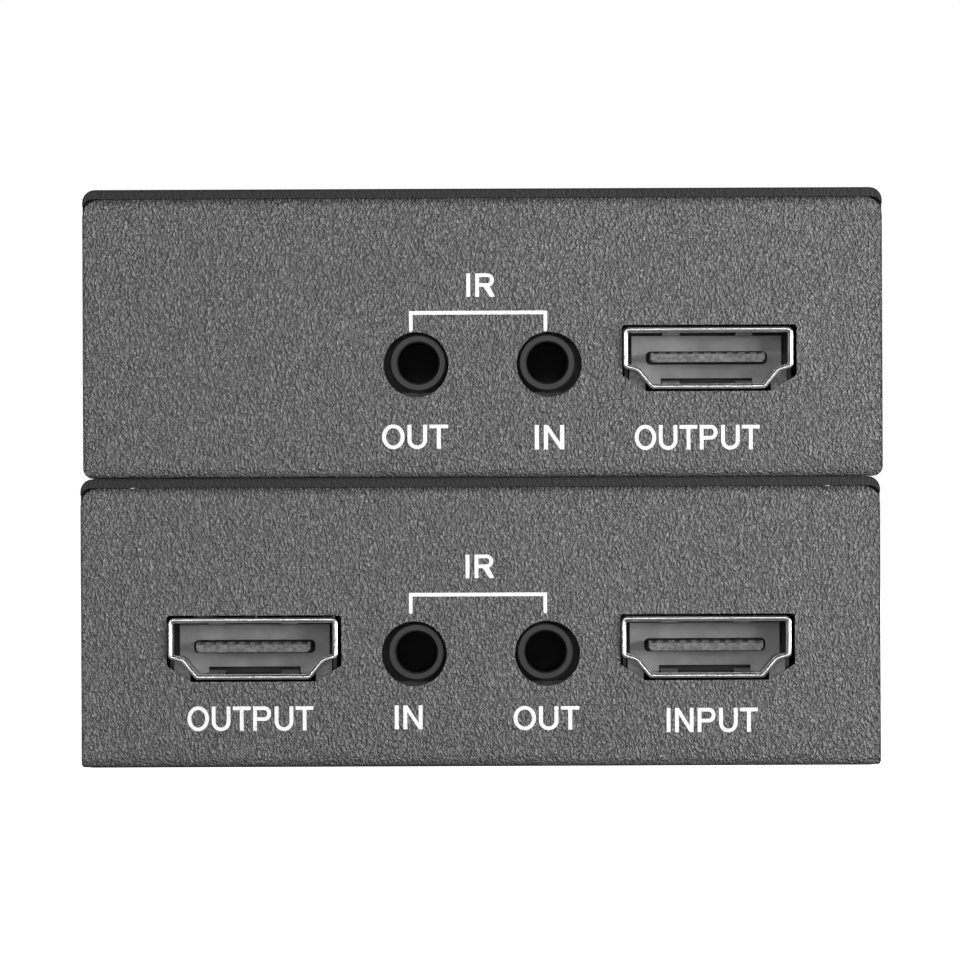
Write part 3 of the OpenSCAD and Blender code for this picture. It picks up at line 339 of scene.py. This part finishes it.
def edge_tools():
    """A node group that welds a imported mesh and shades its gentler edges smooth."""
    group = bpy.data.node_groups.new("weld_and_smooth", "GeometryNodeTree")
    group.interface.new_socket("Geometry", in_out="INPUT", socket_type="NodeSocketGeometry")
    group.interface.new_socket("Geometry", in_out="OUTPUT", socket_type="NodeSocketGeometry")

    def add(kind, **settings):
        made = group.nodes.new(kind)
        for key, value in settings.items():
            setattr(made, key, value)
        return made

    start, end = add("NodeGroupInput"), add("NodeGroupOutput")
    weld = add("GeometryNodeMergeByDistance")
    weld.inputs["Distance"].default_value = WELD_GAP
    forget = add("GeometryNodeRemoveAttribute")
    forget.inputs["Name"].default_value = "custom_normal"
    faces = add("GeometryNodeSetShadeSmooth", domain="FACE")
    edges = add("GeometryNodeSetShadeSmooth", domain="EDGE")
    angle = add("GeometryNodeInputMeshEdgeAngle")
    small = add("FunctionNodeCompare", data_type="FLOAT", operation="LESS_THAN")
    small.inputs[1].default_value = SMOOTH_BELOW
    link = group.links.new
    link(start.outputs[0], weld.inputs["Geometry"])
    link(weld.outputs[0], forget.inputs["Geometry"])
    link(forget.outputs[0], faces.inputs["Geometry"])
    link(faces.outputs[0], edges.inputs["Geometry"])
    link(angle.outputs["Unsigned Angle"], small.inputs[0])
    link(small.outputs[0], edges.inputs["Shade Smooth"])
    link(edges.outputs[0], end.inputs[0])
    return group


EDGES = edge_tools()


def soften(piece, width):
    """Smooths a CAD node's shading, and rounds its edges where a width is given."""
    piece.modifiers.new("weld", "NODES").node_group = EDGES
    if width:
        bevel = piece.modifiers.new("edges", "BEVEL")
        bevel.width = width
        bevel.segments = 2
        bevel.limit_method = "ANGLE"
        bevel.angle_limit = ROUND_ABOVE
        bevel.harden_normals = True
        bevel.use_clamp_overlap = True


slots = {entry["node"]: entry["material_slot"] for entry in frame["record"]["subparts"]}
for name, piece in nodes.items():
    if slots[name] == "powder_coat":
        finish = powder_coat(name + "_coat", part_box(name), name.endswith("top_cover"))
    else:
        finish = materials[slots[name]]
    piece.data.materials.clear()
    piece.data.materials.append(finish)
    for ending, width in EDGE_WIDTHS.items():
        if name.endswith(ending):
            soften(piece, width)


# ---------------------------------------------------------------- printed labels
def arc(cx, cy, rx, ry, start, stop, steps=12):
    """Points on an ellipse between two angles in degrees."""
    turn = [math.radians(start + (stop - start) * i / steps) for i in range(steps + 1)]
    return [(cx + rx * math.cos(a), cy + ry * math.sin(a)) for a in turn]


# Widths of upright and level strokes, and the space beside each letter, in letter heights
STEM, BAR = 0.17, 0.15
BEARINGS = {"I": 0.1, "N": 0.1, "R": 0.12, "P": 0.08, "O": 0.045, "U": 0.075, "T": 0.03}


def with_stem(start, points):
    """A closed outline that begins and ends on a letter's left stem."""
    return [(0, 0), (STEM, 0), (STEM, start)] + points + [(0, 1)]


def bowl(cx, cy, rx, ry, start=-90):
    """The outer and inner outlines of a letter's bowl."""
    outer = arc(cx, cy, rx, ry, start, 90)
    inner = arc(cx, cy, rx - STEM, ry - BAR, -90, 90)
    return outer, [(STEM, cy - ry + BAR)] + inner + [(STEM, cy + ry - BAR)]


# Each letter's width and its outlines, in letter heights
P_OUT, P_IN = bowl(0.5, 0.7, 0.3, 0.3)
R_OUT, R_IN = bowl(0.53, 0.715, 0.285, 0.285, -70)
GLYPHS = {
    "I": (STEM, [[(0, 0), (STEM, 0), (STEM, 1), (0, 1)]]),
    "N": (
        0.83,
        [with_stem(0.73, [(0.66, 0), (0.83, 0), (0.83, 1), (0.66, 1), (0.66, 0.27), (STEM, 1)])],
    ),
    "T": (
        0.79,
        [
            [(0.31, 0), (0.48, 0), (0.48, 1 - BAR), (0.79, 1 - BAR)]
            + [(0.79, 1), (0, 1), (0, 1 - BAR), (0.31, 1 - BAR)]
        ],
    ),
    "U": (
        0.83,
        [
            arc(0.415, 0.37, 0.415, 0.385, 180, 360)
            + [(0.83, 1), (0.83 - STEM, 1)]
            + arc(0.415, 0.37, 0.415 - STEM, 0.385 - BAR, 360, 180)
            + [(STEM, 1), (0, 1)]
        ],
    ),
    "O": (
        0.96,
        [
            arc(0.48, 0.5, 0.48, 0.515, 0, 350, 35),
            arc(0.48, 0.5, 0.48 - STEM, 0.515 - BAR, 0, 350, 35),
        ],
    ),
    "P": (0.8, [with_stem(0.4, P_OUT), P_IN]),
    "R": (0.86, [with_stem(0.43, [(0.35, 0.43), (0.65, 0), (0.86, 0)] + R_OUT), R_IN]),
}


def flat_piece(name, outlines, thickness, place):
    """A flat piece from closed outlines in metres, standing on the panel at place."""
    curve = bpy.data.curves.new(name, "CURVE")
    curve.dimensions = "2D"
    curve.fill_mode = "BOTH"
    curve.extrude = thickness / 2
    for outline in outlines:
        spline = curve.splines.new("POLY")
        spline.points.add(len(outline) - 1)
        for point, (x, z) in zip(spline.points, outline):
            point.co = (x, z, 0, 1)
        spline.use_cyclic_u = True
    shaped = bpy.data.objects.new(name + "_curve", curve)
    scene.collection.objects.link(shaped)
    bpy.context.view_layer.update()
    filled = shaped.evaluated_get(bpy.context.evaluated_depsgraph_get())
    mesh = bpy.data.meshes.new_from_object(filled)
    bpy.data.objects.remove(shaped)
    bpy.data.curves.remove(curve)
    for vertex in mesh.vertices:
        x, z, y = vertex.co
        vertex.co = (place[0] + x, place[1] - y, place[2] + z)
    mesh.flip_normals()
    mesh.name = name
    piece = bpy.data.objects.new(name, mesh)
    scene.collection.objects.link(piece)
    return piece


def ink():
    """White print, a little uneven."""
    n = Nodes("white_ink")
    grain = n.noise(2500, 2.5, 0.55, 0.8)
    return n.surface(
        Base_Color=n.tint(n.ramp(grain, 0.25, 0.45), rgb(0.62, 0.62, 0.61), rgb(0.9, 0.9, 0.89)),
        Roughness=0.55,
        Normal=n.bump(grain, 0.02 * MM),
    )


INK = ink()
INK_T = 0.02 * MM


def printed(name, body, outlines):
    """Outlines in millimetres from the middle of the box's front and from its bottom."""
    low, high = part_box(body + "_base_tray")
    middle = (low.x + high.x) / 2
    scaled = [[(x * MM, z * MM) for x, z in outline] for outline in outlines]
    piece = flat_piece(name, scaled, INK_T, (middle, low.y - INK_T / 2, low.z))
    piece.data.materials.append(INK)
    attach(piece, body)


def word(name, body, letters, x0, x1, z0, z1):
    """A word whose letters fill the given width and height."""
    outlines, pen = [], -BEARINGS[letters[0]]
    for letter in letters:
        width, shapes = GLYPHS[letter]
        pen += BEARINGS[letter]
        outlines += [[(pen + x, z) for x, z in shape] for shape in shapes]
        pen += width + BEARINGS[letter]
    pen -= BEARINGS[letters[-1]]
    wide, high = x1 - x0, z1 - z0
    sized = [[(x0 + x * wide / pen, z0 + z * high) for x, z in shape] for shape in outlines]
    printed(name, body, sized)


BRACKET_LINE = 0.32  # its width in millimetres


def bracket(name, body, x0, x1, z_line, z_legs):
    """A flat bracket over the two infrared jacks, with rounded ends to its legs."""
    t = BRACKET_LINE
    legs = arc(x0 + t / 2, z_legs + t / 2, t / 2, t / 2, 180, 360, 8)
    legs += [(x0 + t, z_line - t), (x1 - t, z_line - t)]
    legs += arc(x1 - t / 2, z_legs + t / 2, t / 2, t / 2, 180, 360, 8)
    printed(name, body, [legs + [(x1, z_line), (x0, z_line)]])


# Left, right, bottom and top of each word, and left, right, top and foot of each bracket
word("receiver_mark_infrared", "receiver", "IR", -1.4, 1.11, 15.82, 17.87)
bracket("receiver_mark_bracket", "receiver", -6.43, 5.67, 14.6, 12.79)
word("receiver_mark_left", "receiver", "OUT", -8.83, -3.04, 2.55, 4.65)
word("receiver_mark_right", "receiver", "IN", 4.54, 7.12, 2.45, 4.58)
word("receiver_mark_video", "receiver", "OUTPUT", 13.29, 24.22, 2.39, 4.53)
word("transmitter_mark_infrared", "transmitter", "IR", -1.31, 1.2, 16.5, 18.56)
bracket("transmitter_mark_bracket", "transmitter", -6.28, 5.81, 15.23, 13.39)
word("transmitter_mark_loop", "transmitter", "OUTPUT", -25.71, -14.67, 3.23, 5.35)
word("transmitter_mark_left", "transmitter", "IN", -7.56, -5.12, 3.3, 5.39)
word("transmitter_mark_right", "transmitter", "OUT", 2.83, 8.61, 3.21, 5.27)
word("transmitter_mark_video", "transmitter", "INPUT", 16.24, 24.21, 2.95, 5.07)


# ---------------------------------------------------------------- stage, light and camera
FLOOR_HALF = 4.0


def backdrop():
    """A plain pale floor, which the camera sees brighter than the object does."""
    mesh = bpy.data.meshes.new("floor")
    half = FLOOR_HALF
    corners = [(-half, -half, 0), (half, -half, 0), (half, half, 0), (-half, half, 0)]
    mesh.from_pydata(corners, [], [(0, 1, 2, 3)])
    floor = bpy.data.objects.new("floor", mesh)
    scene.collection.objects.link(floor)
    n = Nodes("floor")
    seen = n.node("ShaderNodeLightPath").outputs["Is Camera Ray"]
    mesh.materials.append(
        n.surface(
            Base_Color=n.tint(seen, grey(0.3), grey(0.85)),
            Roughness=0.9,
            Specular_IOR_Level=0.1,
            Emission_Color=rgb(1, 1, 1),
            Emission_Strength=seen,
        )
    )


def sky(ambient, seen):
    """Soft grey light from all round; the camera sees the plain pale backdrop instead."""
    world = bpy.data.worlds.new("studio")
    scene.world = world
    world.use_nodes = True
    tree = world.node_tree
    tree.nodes.clear()
    out = tree.nodes.new("ShaderNodeOutputWorld")
    mix = tree.nodes.new("ShaderNodeMixShader")
    path = tree.nodes.new("ShaderNodeLightPath")
    light = tree.nodes.new("ShaderNodeBackground")
    shown = tree.nodes.new("ShaderNodeBackground")
    light.inputs["Color"].default_value = rgb(1, 1, 1)
    light.inputs["Strength"].default_value = ambient
    shown.inputs["Color"].default_value = rgb(1, 1, 1)
    shown.inputs["Strength"].default_value = seen
    tree.links.new(path.outputs["Is Camera Ray"], mix.inputs[0])
    tree.links.new(light.outputs[0], mix.inputs[1])
    tree.links.new(shown.outputs[0], mix.inputs[2])
    tree.links.new(mix.outputs[0], out.inputs["Surface"])


def softbox(name, place, aim, size, power):
    """A soft rectangular light, unseen by the camera: lengths in metres and power in watts."""
    light = bpy.data.lights.new(name, "AREA")
    light.shape = "RECTANGLE"
    light.size, light.size_y = size
    light.energy = power
    lamp = bpy.data.objects.new(name, light)
    lamp.location = place
    lamp.rotation_euler = (Vector(aim) - Vector(place)).to_track_quat("-Z", "Y").to_euler()
    lamp.visible_camera = False
    scene.collection.objects.link(lamp)


backdrop()
sky(ambient=0.12, seen=1.0)
fronts, stack = (0, front_y, 25 * MM), (0, 0, 20 * MM)
softbox("right_box", (0.33, -0.2, 0.05), fronts, (0.16, 0.14), 1.9)
softbox("right_fill", (0.42, -0.95, 0.06), fronts, (0.2, 0.24), 2.6)
softbox("left_fill", (-0.42, -0.95, 0.06), fronts, (0.2, 0.24), 1.9)
softbox("front_strip", (0, -0.85, 0.26), fronts, (0.7, 0.06), 1.6)
softbox("top_box", (0, 0.25, 0.9), stack, (0.9, 0.5), 6)
softbox("rear_box", (-0.3, 0.9, 0.5), stack, (0.7, 0.5), 6)

camera = bpy.data.cameras.new("camera")
camera.lens = camera.sensor_width * CAMERA_GAP / (VIEW_MM * MM)
camera.clip_start, camera.clip_end = 0.01, 20
eye = bpy.data.objects.new("camera", camera)
eye.location = (MIDDLE_X, front_y - CAMERA_GAP, MIDDLE_Z)
eye.rotation_euler = (math.radians(90), math.radians(ROLL), 0)
scene.collection.objects.link(eye)
scene.camera = eye
scene.view_settings.view_transform = "Standard"
